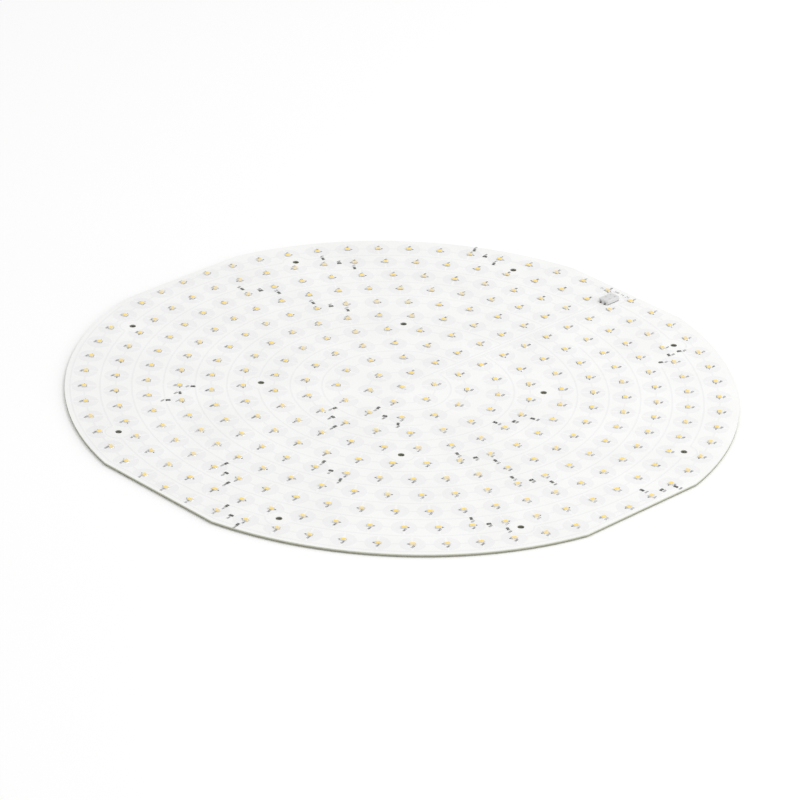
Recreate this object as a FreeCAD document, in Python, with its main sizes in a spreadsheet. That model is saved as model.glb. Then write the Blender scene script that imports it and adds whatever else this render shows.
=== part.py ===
import FreeCAD, Part
import Sketcher
import math
import os

# LED module board: a round white circuit board with four short flats, ten rings of LEDs
# around a centre one, groups of small chips between the LED strings and a low two-pole
# push-in terminal. Millimetres. The origin is the board's centre on its underside, +X
# runs to the terminal and +Z points up, away from the mounting surface.

SIZES = {
    "board_diameter": 405,
    "flat_depth": 5.25,
    "board_thickness": 1.5,
    "outer_screw_count": 8,
    "inner_screw_count": 4,
    "screw_ring_step": 8.1,
    "screw_hole_diameter": 4,
    "screw_keep_out": 5,
    "edge_keep_out": 4,
    "led_first_ring_radius": 19.9,
    "led_edge_margin": 11.6,
    "led_arc_pitch": 19.5,
    "led_length": 3.5,
    "led_width": 2.8,
    "led_body_height": 0.62,
    "window_length": 2.9,
    "window_width": 2.3,
    "window_height": 0.08,
    "chip_length": 2,
    "chip_width": 1.25,
    "chip_height": 0.5,
    "chip_end_length": 0.4,
    "chip_radial_step": 8.1,
    "chip_arc_step": 8.4,
    "chip_edge_radial_step": 6.9,
    "chip_flat_radial_step": 4.2,
    "chip_screw_arc_step": 3,
    "terminal_ring_step": 8.7,
    "terminal_side_shift": 0.9,
    "terminal_length": 11.6,
    "terminal_width": 7.6,
    "terminal_height": 2.7,
    "terminal_corner_radius": 0.9,
    "terminal_shoulder_radius": 0.55,
    "pole_pitch": 3.5,
    "entry_height": 1.2,
    "entry_bore": 1.4,
    "entry_mouth": 1.8,
    "entry_mouth_depth": 0.8,
    "chamber_setback": 2.4,
    "chamber_length": 7.8,
    "chamber_width": 1.6,
    "chamber_height": 2,
    "probe_slot_setback": 4.2,
    "release_slot_setback": 8.7,
    "top_slot_length": 1.3,
    "top_slot_width": 0.9,
    "side_recess_depth": 0.45,
    "side_recess_height": 0.5,
    "contact_sheet": 0.2,
    "contact_width": 1.2,
    "contact_clearance": 0.1,
    "contact_foot_length": 1,
    "spring_length": 4.6,
    "spring_drop": 0.7,
}

LED_RINGS = 10
LEDS_PER_STRING = 14
STRINGS_IN_SERIES = 3
FLAT_DISTANCE = "(sizes.board_diameter / 2 - sizes.flat_depth)"
RING_PITCH = (
    "((sizes.board_diameter / 2 - sizes.led_edge_margin - sizes.led_first_ring_radius)"
    f" / {LED_RINGS - 1})"
)

doc = FreeCAD.newDocument("LedModuleBoard")
sheet = doc.addObject("Spreadsheet::Sheet", "sizes")
for row, (alias, number) in enumerate(SIZES.items(), start=1):
    sheet.set(f"A{row}", alias)
    sheet.set(f"B{row}", str(number))
    sheet.setAlias(f"B{row}", alias)
doc.recompute()


def value(formula):
    """The number that a formula over the sheet gives."""
    return float(sheet.evalExpression(formula))


def origin_part(body, role):
    """A plane or an axis of a body's own origin."""
    return next(item for item in body.Origin.OriginFeatures if item.Role == role)


def new_body(label):
    body = doc.addObject("PartDesign::Body", label)
    body.Label = label
    return body


def new_sketch(body, name, role="XY_Plane"):
    sketch = body.newObject("Sketcher::SketchObject", name)
    sketch.AttachmentSupport = [(origin_part(body, role), "")]
    sketch.MapMode = "FlatFace"
    return sketch


def raise_sketch(sketch, formula):
    """Lifts a sketch off its plane."""
    sketch.setExpression("AttachmentOffset.Base.z", formula)


def drive(sketch, name, formula, kind, *points):
    """Adds a dimension to a sketch and ties it to the sheet."""
    index = sketch.addConstraint(Sketcher.Constraint(kind, *points, value(formula)))
    sketch.renameConstraint(index, name)
    sketch.setExpression(f"Constraints.{name}", formula)


def place_point(sketch, name, line, end, across, along):
    """Ties one end of a line to its two distances from the sketch's origin."""
    if across == "0":
        sketch.addConstraint(Sketcher.Constraint("PointOnObject", line, end, -2))
    else:
        drive(sketch, name + "_x", across, "DistanceX", -1, 1, line, end)
    if along == "0":
        sketch.addConstraint(Sketcher.Constraint("PointOnObject", line, end, -1))
    else:
        drive(sketch, name + "_y", along, "DistanceY", -1, 1, line, end)


def add_polygon(sketch, name, corners):
    """A closed outline through corners that are given as pairs of formulas."""
    spots = [FreeCAD.Vector(value(across), value(along), 0) for across, along in corners]
    last = len(corners)
    lines = [
        sketch.addGeometry(Part.LineSegment(spots[i], spots[(i + 1) % last]))
        for i in range(last)
    ]
    for i in range(last):
        sketch.addConstraint(
            Sketcher.Constraint("Coincident", lines[i], 2, lines[(i + 1) % last], 1)
        )
        place_point(sketch, f"{name}_{i}", lines[i], 1, *corners[i])


def add_rectangle(sketch, name, centre_x, centre_y, wide, high):
    """A rectangle held by its centre and its two sides."""
    left, right = f"{centre_x} - {wide} / 2", f"{centre_x} + {wide} / 2"
    low, top = f"{centre_y} - {high} / 2", f"{centre_y} + {high} / 2"
    add_polygon(sketch, name, [(left, low), (right, low), (right, top), (left, top)])


def add_circle(sketch, name, centre_x, diameter):
    """A circle with its centre on the sketch's X axis."""
    centre = FreeCAD.Vector(value(centre_x), 0, 0)
    upward = FreeCAD.Vector(0, 0, 1)
    circle = sketch.addGeometry(Part.Circle(centre, upward, value(diameter) / 2))
    drive(sketch, name + "_diameter", diameter, "Diameter", circle)
    drive(sketch, name + "_place", centre_x, "DistanceX", -1, 1, circle, 3)
    sketch.addConstraint(Sketcher.Constraint("PointOnObject", circle, 3, -1))


def add_pad(body, sketch, name, height):
    pad = body.newObject("PartDesign::Pad", name)
    pad.Profile = sketch
    pad.setExpression("Length", height)
    return pad


def add_pocket(body, sketch, name, depth=None, upward=False):
    """A cut from a sketch, through everything where no depth is given."""
    pocket = body.newObject("PartDesign::Pocket", name)
    pocket.Profile = sketch
    pocket.Reversed = upward
    if depth is None:
        pocket.Type = "ThroughAll"
    else:
        pocket.setExpression("Length", depth)
    return pocket


def polar_copies(body, feature, name, count):
    pattern = body.newObject("PartDesign::PolarPattern", name)
    pattern.Originals = [feature]
    pattern.Axis = (origin_part(body, "Z_Axis"), [""])
    pattern.Angle = 360
    pattern.setExpression("Occurrences", count)
    body.Tip = pattern
    return pattern


def second_pole(body, feature, name):
    """Repeats a feature of the first pole at the second one."""
    pattern = body.newObject("PartDesign::LinearPattern", name)
    pattern.Originals = [feature]
    pattern.Direction = (origin_part(body, "Y_Axis"), [""])
    pattern.setExpression("Length", "sizes.pole_pitch")
    pattern.Occurrences = 2
    body.Tip = pattern
    return pattern


# Rings, which share the board's width evenly, and what stands between two of them


def ring_radius(ring):
    return f"(sizes.led_first_ring_radius + {ring - 1} * {RING_PITCH})"


def ring_count(ring):
    """As many LEDs as fit round the ring at the least arc pitch."""
    return f"floor(2 * pi * {ring_radius(ring)} / sizes.led_arc_pitch)"


OUTER_SCREW_RADIUS = f"({ring_radius(LED_RINGS - 1)} + sizes.screw_ring_step)"
INNER_SCREW_RADIUS = f"({ring_radius(4)} + sizes.screw_ring_step)"
TERMINAL_DISTANCE = f"({ring_radius(LED_RINGS - 1)} + sizes.terminal_ring_step)"


# Board outline, with an arc between each two of its four flats


def make_board():
    body = new_body("board")
    sketch = new_sketch(body, "BoardOutline")
    radius = value("sizes.board_diameter / 2")
    flat = value(FLAT_DISTANCE)
    half_chord = math.sqrt(radius**2 - flat**2)
    corner = math.atan2(half_chord, flat)
    centre = FreeCAD.Vector(0, 0, 0)
    upward = FreeCAD.Vector(0, 0, 1)
    flats = []
    arcs = []
    for quarter in range(4):
        turn = FreeCAD.Rotation(upward, 90 * quarter)
        start = turn.multVec(FreeCAD.Vector(flat, -half_chord, 0))
        end = turn.multVec(FreeCAD.Vector(flat, half_chord, 0))
        flats.append(sketch.addGeometry(Part.LineSegment(start, end)))
        first = quarter * math.pi / 2 + corner
        last = (quarter + 1) * math.pi / 2 - corner
        circle = Part.Circle(centre, upward, radius)
        arcs.append(sketch.addGeometry(Part.ArcOfCircle(circle, first, last)))
    for quarter in range(4):
        line, arc = flats[quarter], arcs[quarter]
        following = flats[(quarter + 1) % 4]
        sketch.addConstraint(Sketcher.Constraint("Coincident", arc, 3, -1, 1))
        sketch.addConstraint(Sketcher.Constraint("Coincident", line, 2, arc, 1))
        sketch.addConstraint(Sketcher.Constraint("Coincident", arc, 2, following, 1))
        upright = quarter % 2 == 0
        sketch.addConstraint(Sketcher.Constraint("Vertical" if upright else "Horizontal", line))
        side = "" if quarter < 2 else "-"
        drive(
            sketch,
            f"flat_{quarter}",
            f"{side}{FLAT_DISTANCE}",
            "DistanceX" if upright else "DistanceY",
            -1,
            1,
            line,
            1,
        )
        if quarter > 0:
            sketch.addConstraint(Sketcher.Constraint("Equal", arcs[0], arc))
    drive(sketch, "rim_radius", "sizes.board_diameter / 2", "Radius", arcs[0])
    add_pad(body, sketch, "Laminate", "sizes.board_thickness")
    for name, radius in (("outer", OUTER_SCREW_RADIUS), ("inner", INNER_SCREW_RADIUS)):
        count = f"sizes.{name}_screw_count"
        hole = new_sketch(body, name.title() + "ScrewSketch")
        hole.setExpression("AttachmentOffset.Rotation.Angle", f"180 / {count}")
        add_circle(hole, "hole", radius, "sizes.screw_hole_diameter")
        cut = add_pocket(body, hole, name.title() + "ScrewHole", upward=True)
        polar_copies(body, cut, name.title() + "ScrewCircle", count)
    return body


# LEDs, each a white package with a yellow window on its top


def make_led_blocks(label, ring, wide, length, base, height):
    """One block per LED of a ring, its long side along the ring. Ring 0 is the centre."""
    body = new_body(label)
    sketch = new_sketch(body, label + "_sketch")
    raise_sketch(sketch, base)
    if ring == 0:
        add_rectangle(sketch, "block", "0", "0", wide, length)
        add_pad(body, sketch, label + "_pad", height)
        return body
    sketch.setExpression("AttachmentOffset.Rotation.Angle", f"180 / {ring_count(ring)}")
    add_rectangle(sketch, "block", ring_radius(ring), "0", wide, length)
    pad = add_pad(body, sketch, label + "_pad", height)
    polar_copies(body, pad, label + "_circle", ring_count(ring))
    return body


def make_leds():
    bodies = []
    for ring in range(LED_RINGS + 1):
        place = "centre" if ring == 0 else f"ring_{ring:02d}"
        bodies.append(
            make_led_blocks(
                f"led_packages_{place}",
                ring,
                "sizes.led_width",
                "sizes.led_length",
                "sizes.board_thickness",
                "sizes.led_body_height",
            )
        )
        bodies.append(
            make_led_blocks(
                f"led_windows_{place}",
                ring,
                "sizes.window_width",
                "sizes.window_length",
                "sizes.board_thickness + sizes.led_body_height",
                "sizes.window_height",
            )
        )
    return bodies


# Chips. The LED chain winds outwards ring by ring, forwards in the even rings and
# backwards in the odd ones. Three chips sit in the chain between two strings, and none
# where three strings in series end at the feed lines.


def chip_groups():
    """The ring and the gap, counted from +X, of each group of three chips."""
    counts = [1] + [int(value(ring_count(ring))) for ring in range(1, LED_RINGS + 1)]
    groups = []
    for string in range(1, sum(counts) // LEDS_PER_STRING):
        if string % STRINGS_IN_SERIES == 0:
            continue
        gap = string * LEDS_PER_STRING
        ring = 0
        while gap > counts[ring]:
            gap -= counts[ring]
            ring += 1
        groups.append((ring, gap if ring % 2 == 0 else counts[ring] - gap))
    return groups


def turned(degrees, distance):
    return (
        distance * math.cos(math.radians(degrees)),
        distance * math.sin(math.radians(degrees)),
    )


def near_screw(degrees, distance):
    """Whether a place on the board is too close to a screw hole of the outer circle."""
    step = 360 / value("sizes.outer_screw_count")
    hole = turned((math.floor(degrees / step) + 0.5) * step, value(OUTER_SCREW_RADIUS))
    return math.dist(turned(degrees, distance), hole) < value("sizes.screw_keep_out")


def near_flat(degrees, distance):
    """Whether a place on the board is too close to one of its flats."""
    reach = max(abs(part) for part in turned(degrees, distance))
    return value(FLAT_DISTANCE) - reach < value("sizes.edge_keep_out")


def outer_chip_steps(ring, gap):
    """How far the outer chip of a group lies from the ring and along it."""
    radial = "sizes.chip_radial_step"
    if ring == LED_RINGS:
        radial = "sizes.chip_edge_radial_step"
    arc = "sizes.chip_arc_step"
    middle = value(f"360 * {gap} / {ring_count(ring)}")
    degrees = middle + value(f"{arc} / {ring_radius(ring)} * 180 / pi")
    distance = value(f"{ring_radius(ring)} + {radial}")
    if near_screw(degrees, distance):
        arc = "sizes.chip_screw_arc_step"
    if near_flat(degrees, distance):
        radial = "sizes.chip_flat_radial_step"
    return radial, arc


def polar_box(name, degrees, distance, side_shift, radial_size, arc_size):
    """A block on the board, turned to face the centre, from formulas."""
    box = doc.addObject("Part::Box", name)
    box.setExpression("Length", radial_size)
    box.setExpression("Width", arc_size)
    box.setExpression("Height", "sizes.chip_height")
    near = f"({distance} - {radial_size} / 2)"
    aside = f"({side_shift} - {arc_size} / 2)"
    box.setExpression("Placement.Base.x", f"{near} * cos({degrees}) - {aside} * sin({degrees})")
    box.setExpression("Placement.Base.y", f"{near} * sin({degrees}) + {aside} * cos({degrees})")
    box.setExpression("Placement.Base.z", "sizes.board_thickness")
    box.setExpression("Placement.Rotation.Angle", degrees)
    return box


def add_chip(name, degrees, distance, along_ring):
    """A chip's dark body and the two metal ends that butt against it."""
    ends = "sizes.chip_end_length"
    middle = f"(sizes.chip_length - 2 * {ends})"
    shift = f"(sizes.chip_length - {ends}) / 2"
    if along_ring:
        blocks = [polar_box(name + "_body", degrees, distance, "0", "sizes.chip_width", middle)]
        for sign, end in (("-", "first"), ("", "second")):
            aside = f"{sign}{shift}"
            blocks.append(
                polar_box(f"{name}_{end}", degrees, distance, aside, "sizes.chip_width", ends)
            )
        return blocks[0], blocks[1:]
    blocks = [polar_box(name + "_body", degrees, distance, "0", middle, "sizes.chip_width")]
    for sign, end in (("-", "first"), ("+", "second")):
        place = f"({distance} {sign} {shift})"
        blocks.append(polar_box(f"{name}_{end}", degrees, place, "0", ends, "sizes.chip_width"))
    return blocks[0], blocks[1:]


def make_chips():
    bodies = {"inner": [], "middle": [], "outer": []}
    ends = {"inner": [], "middle": [], "outer": []}
    for number, (ring, gap) in enumerate(chip_groups(), start=1):
        middle = f"360 * {gap} / {ring_count(ring)}"
        outer_radial, outer_arc = outer_chip_steps(ring, gap)
        places = {
            "inner": ("-", "sizes.chip_radial_step", "sizes.chip_arc_step"),
            "middle": ("+", "0", "0"),
            "outer": ("+", outer_radial, outer_arc),
        }
        for role, (sign, radial, arc) in places.items():
            degrees = f"({middle} {sign} {arc} / {ring_radius(ring)} * 180 / pi)"
            distance = f"({ring_radius(ring)} {sign} {radial})"
            name = f"chip_{number:02d}_{role}"
            body, caps = add_chip(name, degrees, distance, role == "middle")
            bodies[role].append(body)
            ends[role].extend(caps)
    made = []
    for kind, groups in (("bodies", bodies), ("ends", ends)):
        for role, blocks in groups.items():
            group = doc.addObject("Part::Compound", f"chip_{kind}_{role}")
            group.Label = f"chip_{kind}_{role}"
            group.Links = blocks
            made.append(group)
    return made


# Terminal: a low housing with two wire entries that face the board's centre, a chamber
# behind each one and, in it, a folded contact with a spring leaf and a solder foot


def put_on_board(body):
    """Moves a body that is drawn about the terminal's centre to its place on the board."""
    body.setExpression("Placement.Base.x", TERMINAL_DISTANCE)
    body.setExpression("Placement.Base.y", "-sizes.terminal_side_shift")
    body.setExpression("Placement.Base.z", "sizes.board_thickness")


def edge_names(shape, wanted):
    return [f"Edge{i}" for i, edge in enumerate(shape.Edges, start=1) if wanted(edge)]


def add_fillet(body, base, name, radius, wanted):
    doc.recompute()
    fillet = body.newObject("PartDesign::Fillet", name)
    fillet.Base = (base, edge_names(base.Shape, wanted))
    fillet.setExpression("Radius", radius)
    return fillet


def is_upright(edge):
    box = edge.BoundBox
    return box.ZLength > 0.9 * value("sizes.terminal_height")


def is_on_top(edge):
    return edge.BoundBox.ZMin > value("sizes.terminal_height") - 1e-6


FIRST_POLE = "-sizes.pole_pitch / 2"
ENTRY_FACE = "-sizes.terminal_length / 2"


def cut_for_poles(body, name, setback, length, width, base, depth, upward):
    """A rectangular cut at each pole, placed by its middle's distance from the entries."""
    sketch = new_sketch(body, name + "Sketch")
    raise_sketch(sketch, base)
    middle = f"{ENTRY_FACE} + {setback}"
    add_rectangle(sketch, "cut", middle, FIRST_POLE, length, width)
    pocket = add_pocket(body, sketch, name, depth, upward)
    return second_pole(body, pocket, name + "Pair")


def make_terminal_housing():
    body = new_body("terminal_housing")
    put_on_board(body)
    sketch = new_sketch(body, "HousingOutline")
    add_rectangle(sketch, "housing", "0", "0", "sizes.terminal_length", "sizes.terminal_width")
    block = add_pad(body, sketch, "HousingBlock", "sizes.terminal_height")
    rounded = add_fillet(
        body, block, "CornerRounding", "sizes.terminal_corner_radius", is_upright
    )
    add_fillet(body, rounded, "ShoulderRounding", "sizes.terminal_shoulder_radius", is_on_top)
    side = new_sketch(body, "SideRecessSketch", "YZ_Plane")
    edge, inside = "sizes.terminal_width / 2", "sizes.terminal_width / 2 - sizes.side_recess_depth"
    high = "sizes.side_recess_height"
    add_polygon(side, "right", [(inside, "0"), (edge, "0"), (edge, high), (inside, high)])
    left_edge, left_inside = "-" + edge, "sizes.side_recess_depth - sizes.terminal_width / 2"
    add_polygon(
        side, "left", [(left_edge, "0"), (left_inside, "0"), (left_inside, high), (left_edge, high)]
    )
    recess = add_pocket(body, side, "SideRecesses")
    recess.Midplane = True
    chamber_middle = "sizes.chamber_setback + sizes.chamber_length / 2"
    cut_for_poles(
        body,
        "Chamber",
        chamber_middle,
        "sizes.chamber_length",
        "sizes.chamber_width",
        "0",
        "sizes.chamber_height",
        True,
    )
    rear_wall = "(sizes.terminal_length - sizes.chamber_setback - sizes.chamber_length)"
    cut_for_poles(
        body,
        "FootSlot",
        f"sizes.terminal_length - {rear_wall} / 2",
        rear_wall,
        "sizes.chamber_width",
        "0",
        "sizes.contact_sheet + sizes.contact_clearance",
        True,
    )
    roof = "sizes.terminal_height - sizes.chamber_height"
    for name in ("probe", "release"):
        cut_for_poles(
            body,
            name.title() + "Slot",
            f"sizes.{name}_slot_setback",
            "sizes.top_slot_length",
            "sizes.top_slot_width",
            "sizes.terminal_height",
            roof,
            False,
        )
    entry = new_sketch(body, "EntryProfile")
    entry.setExpression("AttachmentOffset.Base.y", FIRST_POLE)
    raise_sketch(entry, "sizes.entry_height")
    throat = f"{ENTRY_FACE} + sizes.entry_mouth_depth"
    end = f"{ENTRY_FACE} + sizes.chamber_setback"
    add_polygon(
        entry,
        "entry",
        [
            (ENTRY_FACE, "0"),
            (end, "0"),
            (end, "sizes.entry_bore / 2"),
            (throat, "sizes.entry_bore / 2"),
            (ENTRY_FACE, "sizes.entry_mouth / 2"),
        ],
    )
    groove = body.newObject("PartDesign::Groove", "Entry")
    groove.Profile = entry
    groove.ReferenceAxis = (entry, ["H_Axis"])
    groove.Angle = 360
    second_pole(body, groove, "EntryPair")
    return body


def make_contact(label, pole):
    """A strip on the chamber's floor, folded up at the back into a spring that leans down."""
    body = new_body(label)
    put_on_board(body)
    sketch = new_sketch(body, label + "_fold", "XZ_Plane")
    raise_sketch(sketch, f"-({pole}) - sizes.contact_width / 2")
    front = f"{ENTRY_FACE} + sizes.chamber_setback + sizes.contact_clearance"
    back = f"{ENTRY_FACE} + sizes.chamber_setback + sizes.chamber_length - sizes.contact_clearance"
    foot = "sizes.terminal_length / 2 + sizes.contact_foot_length"
    sheet_size = "sizes.contact_sheet"
    crown = "sizes.chamber_height - sizes.contact_clearance"
    tip = f"{back} - sizes.spring_length"
    add_polygon(
        sketch,
        "fold",
        [
            (front, "0"),
            (foot, "0"),
            (foot, sheet_size),
            (back, sheet_size),
            (back, crown),
            (tip, f"{crown} - sizes.spring_drop"),
            (tip, f"{crown} - sizes.spring_drop - {sheet_size}"),
            (f"{back} - {sheet_size}", f"{crown} - {sheet_size}"),
            (f"{back} - {sheet_size}", sheet_size),
            (front, sheet_size),
        ],
    )
    add_pad(body, sketch, label + "_pad", "sizes.contact_width")
    return body


def make_terminal():
    return [
        make_terminal_housing(),
        make_contact("terminal_contact_left", "sizes.pole_pitch / 2"),
        make_contact("terminal_contact_right", FIRST_POLE),
    ]


def check_and_export(pieces):
    doc.recompute()
    for item in doc.Objects:
        if "Invalid" in item.State or "Error" in item.State:
            raise RuntimeError(f"{item.Label} did not build: {item.State}")
    for piece in pieces:
        if piece.Shape.isNull() or not piece.Shape.isValid():
            raise RuntimeError(f"{piece.Label} has no valid shape")
    os.makedirs("parts", exist_ok=True)
    for piece in pieces:
        piece.Shape.exportStep(f"parts/{piece.Label}.step")
        solids = len(piece.Shape.Solids)
        print(f"{piece.Label}: {solids} solids, {piece.Shape.Volume:.3f} mm3")


check_and_export([make_board()] + make_leds() + make_chips() + make_terminal())
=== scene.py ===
import math

import bpy
from mathutils import Matrix, Vector


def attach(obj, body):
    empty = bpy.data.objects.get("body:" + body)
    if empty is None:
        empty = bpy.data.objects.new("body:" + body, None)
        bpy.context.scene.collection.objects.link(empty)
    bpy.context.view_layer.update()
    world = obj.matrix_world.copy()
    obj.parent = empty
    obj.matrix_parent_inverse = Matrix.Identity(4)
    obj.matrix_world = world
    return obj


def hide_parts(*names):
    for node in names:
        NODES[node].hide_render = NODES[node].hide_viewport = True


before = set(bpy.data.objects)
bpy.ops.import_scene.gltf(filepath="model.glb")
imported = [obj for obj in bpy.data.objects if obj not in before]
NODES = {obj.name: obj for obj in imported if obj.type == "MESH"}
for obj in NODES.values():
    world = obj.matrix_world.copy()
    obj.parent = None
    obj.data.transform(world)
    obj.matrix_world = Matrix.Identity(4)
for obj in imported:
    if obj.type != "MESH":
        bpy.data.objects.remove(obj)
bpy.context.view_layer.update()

# Lengths are in millimetres, X and Y from the board's middle and Z up from its
# underside; MM turns them into the frame's metres
MM = 0.001

# Board and rings of lights
BOARD_TOP = 1.5
BOARD_RADIUS = 202.5
FLAT_DISTANCE = 197.25
RING_COUNT = 10
FIRST_RING = 19.9
RING_STEP = 19.0
LEAST_ARC = 19.5
LEDS_PER_STRING = 14
STRINGS_IN_SERIES = 3

# Screw holes: how many, and how far from the middle
OUTER_SCREWS = (8, 180.0)
INNER_SCREWS = (4, 85.0)

# How far copper keeps from a hole's middle: a land, the track that goes round the hole
# with rounded corners, and a land beyond that track
SCREW_CLEARANCE = 7.0
DETOUR_RADIUS = 7.8
DETOUR_CORNER = 1.6
DETOUR_CLEARANCE = 9.1

# Heights above the board of what is etched and printed on it, how deep it is sunk, and
# the share of its rise at which its edge begins to slope
LAND_RISE = 0.03
INK_RISE = 0.05
SUNK = 0.02
UPRIGHT_SHARE = 0.4
# Outer corner of a bent strip, as a share of its width
BLUNT_SHARE = 0.7


# Layout

def ring_radius(ring):
    return FIRST_RING + RING_STEP * (ring - 1)


def ring_count(ring):
    return math.floor(2 * math.pi * ring_radius(ring) / LEAST_ARC)


COUNTS = [1] + [ring_count(ring) for ring in range(1, RING_COUNT + 1)]


def led_angle(ring, place):
    return 2 * math.pi * (place + 0.5) / COUNTS[ring]


def ring_word(ring):
    return "ring_%02d" % ring if ring else "centre"


def cathode_side(ring):
    """Along the ring: clockwise on the even rings, anticlockwise on the odd ones."""
    return -1 if ring % 2 == 0 else 1


def led_chain():
    """Ring and place of each light in the order of the chain: even rings run
    anticlockwise from +X and odd rings clockwise."""
    chain = [(0, 0)]
    for ring in range(1, RING_COUNT + 1):
        places = range(COUNTS[ring])
        if ring % 2:
            places = reversed(places)
        chain += [(ring, place) for place in places]
    return chain


def chip_groups():
    """Ring and gap of each group of three jumper chips between two strings."""
    groups = []
    for string in range(1, sum(COUNTS) // LEDS_PER_STRING):
        if string % STRINGS_IN_SERIES == 0:
            continue
        gap = string * LEDS_PER_STRING
        ring = 0
        while gap > COUNTS[ring]:
            gap -= COUNTS[ring]
            ring += 1
        groups.append((ring, gap if ring % 2 == 0 else COUNTS[ring] - gap))
    return groups


def screw_holes():
    holes = []
    for count, radius in (OUTER_SCREWS, INNER_SCREWS):
        for k in range(count):
            a = 2 * math.pi * (k + 0.5) / count
            holes.append((radius * math.cos(a), radius * math.sin(a)))
    return holes


HOLES = screw_holes()


class Spot:
    """A place on the board that faces away from the centre: first coordinate
    outwards, second anticlockwise along the ring."""

    def __init__(self, radius, angle):
        self.radius = radius
        self.out = (math.cos(angle), math.sin(angle))

    def at(self, s, t, z=0.0):
        c, d = self.out
        r = self.radius + s
        return (r * c - t * d, r * d + t * c, BOARD_TOP + z)

    def seen(self, x, y):
        """Outwards and along coordinates of a place on the board."""
        c, d = self.out
        return x * c + y * d - self.radius, y * c - x * d


def light_spot(ring, place):
    """Where a light stands; the middle one faces +X."""
    if ring == 0:
        return Spot(0.0, 0.0)
    return Spot(ring_radius(ring), led_angle(ring, place))


# Mesh building

class Shape:
    """Points and faces in millimetres that become one piece."""

    def __init__(self):
        self.points = []
        self.faces = []
        self.smooth = []

    def skin(self, loops, smooth=False):
        """Closed form through loops of equal length that run anticlockwise, from the
        lowest to the last, with a face over each end."""
        start = len(self.points)
        n = len(loops[0])
        for loop in loops:
            self.points += loop
        for level in range(len(loops) - 1):
            a = start + level * n
            for i in range(n):
                j = (i + 1) % n
                self.add((a + i, a + j, a + n + j, a + n + i), smooth)
        self.add(tuple(start + i for i in reversed(range(n))), False)
        last = start + (len(loops) - 1) * n
        self.add(tuple(last + i for i in range(n)), False)

    def tube(self, loops):
        """Closed ring through loops of equal length, the last joined to the first."""
        start = len(self.points)
        n = len(loops[0])
        for loop in loops:
            self.points += loop
        for level in range(len(loops)):
            a = start + level * n
            b = start + (level + 1) % len(loops) * n
            for i in range(n):
                j = (i + 1) % n
                self.add((a + i, a + j, b + j, b + i), False)

    def add(self, face, smooth):
        self.faces.append(face)
        self.smooth.append(smooth)

    def piece(self, name, material, slot):
        mesh = bpy.data.meshes.new(name)
        mesh.from_pydata([tuple(c * MM for c in p) for p in self.points], [], self.faces)
        mesh.polygons.foreach_set("use_smooth", self.smooth)
        mesh.materials.append(material)
        mesh.validate()
        obj = bpy.data.objects.new(name, mesh)
        bpy.context.scene.collection.objects.link(obj)
        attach(obj, "root")
        return obj


def rounded(width, height, radius, steps=2, cut=None):
    """Anticlockwise outline of a rounded rectangle about the middle. A cut makes the
    first corner a straight chamfer with as many points as the others."""
    outline = []
    corners = ((1, 1, 0), (-1, 1, 90), (-1, -1, 180), (1, -1, 270))
    for sx, sy, turn in corners:
        if cut and turn == 0:
            for i in range(steps + 1):
                f = i / steps
                outline.append((width / 2 - cut * f, height / 2 - cut * (1 - f)))
            continue
        for i in range(steps + 1):
            a = math.radians(turn + 90 * i / steps)
            outline.append((
                sx * (width / 2 - radius) + radius * math.cos(a),
                sy * (height / 2 - radius) + radius * math.sin(a),
            ))
    return outline


def laid(spot, outline, z):
    """An outline in (outwards, along the ring) set down at a spot."""
    return [spot.at(s, t, z) for s, t in outline]


def flat_form(shape, outline, inner, top):
    """Thin closed relief over an anticlockwise outline of board coordinates, with a
    narrow sloping edge up to the inner outline."""
    shape.skin([
        [(x, y, BOARD_TOP - SUNK) for x, y in outline],
        [(x, y, BOARD_TOP + top * UPRIGHT_SHARE) for x, y in outline],
        [(x, y, BOARD_TOP + top) for x, y in inner],
    ])


def heading(start, end):
    """Direction of length one from a place to the next."""
    length = math.hypot(end[0] - start[0], end[1] - start[1])
    return (end[0] - start[0]) / length, (end[1] - start[1]) / length


def ribbon(shape, path, width, top, closed=False):
    """Thin raised strip of one width along a path of board coordinates. Its corners
    are mitred inside and blunt outside."""
    loops = []
    n = len(path)
    for i, (x, y) in enumerate(path):
        after = heading(path[i], path[(i + 1) % n]) if i < n - 1 or closed else None
        before = heading(path[i - 1], path[i]) if i or closed else after
        after = after or before
        dx, dy = before[0] + after[0], before[1] + after[1]
        length = math.hypot(dx, dy)
        nx, ny = -dy / length, dx / length
        inner = width / length
        outer = min(inner, width * BLUNT_SHARE)
        turns_left = before[0] * after[1] - before[1] * after[0] > 0
        left, right = (inner, outer) if turns_left else (outer, inner)
        loops.append([
            (x + nx * left, y + ny * left, BOARD_TOP - SUNK),
            (x + nx * left, y + ny * left, BOARD_TOP + top),
            (x - nx * right, y - ny * right, BOARD_TOP + top),
            (x - nx * right, y - ny * right, BOARD_TOP - SUNK),
        ])
    if closed:
        shape.tube(loops)
    else:
        shape.skin(loops)


# Materials. Grain sizes are in millimetres, and tones are sRGB levels out of 255

# Colour sockets of a mix node
MIX_FACTOR, MIX_A, MIX_B, MIX_RESULT = 0, 6, 7, 2


def socket(node, name, value):
    node.inputs[name].default_value = value


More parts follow.
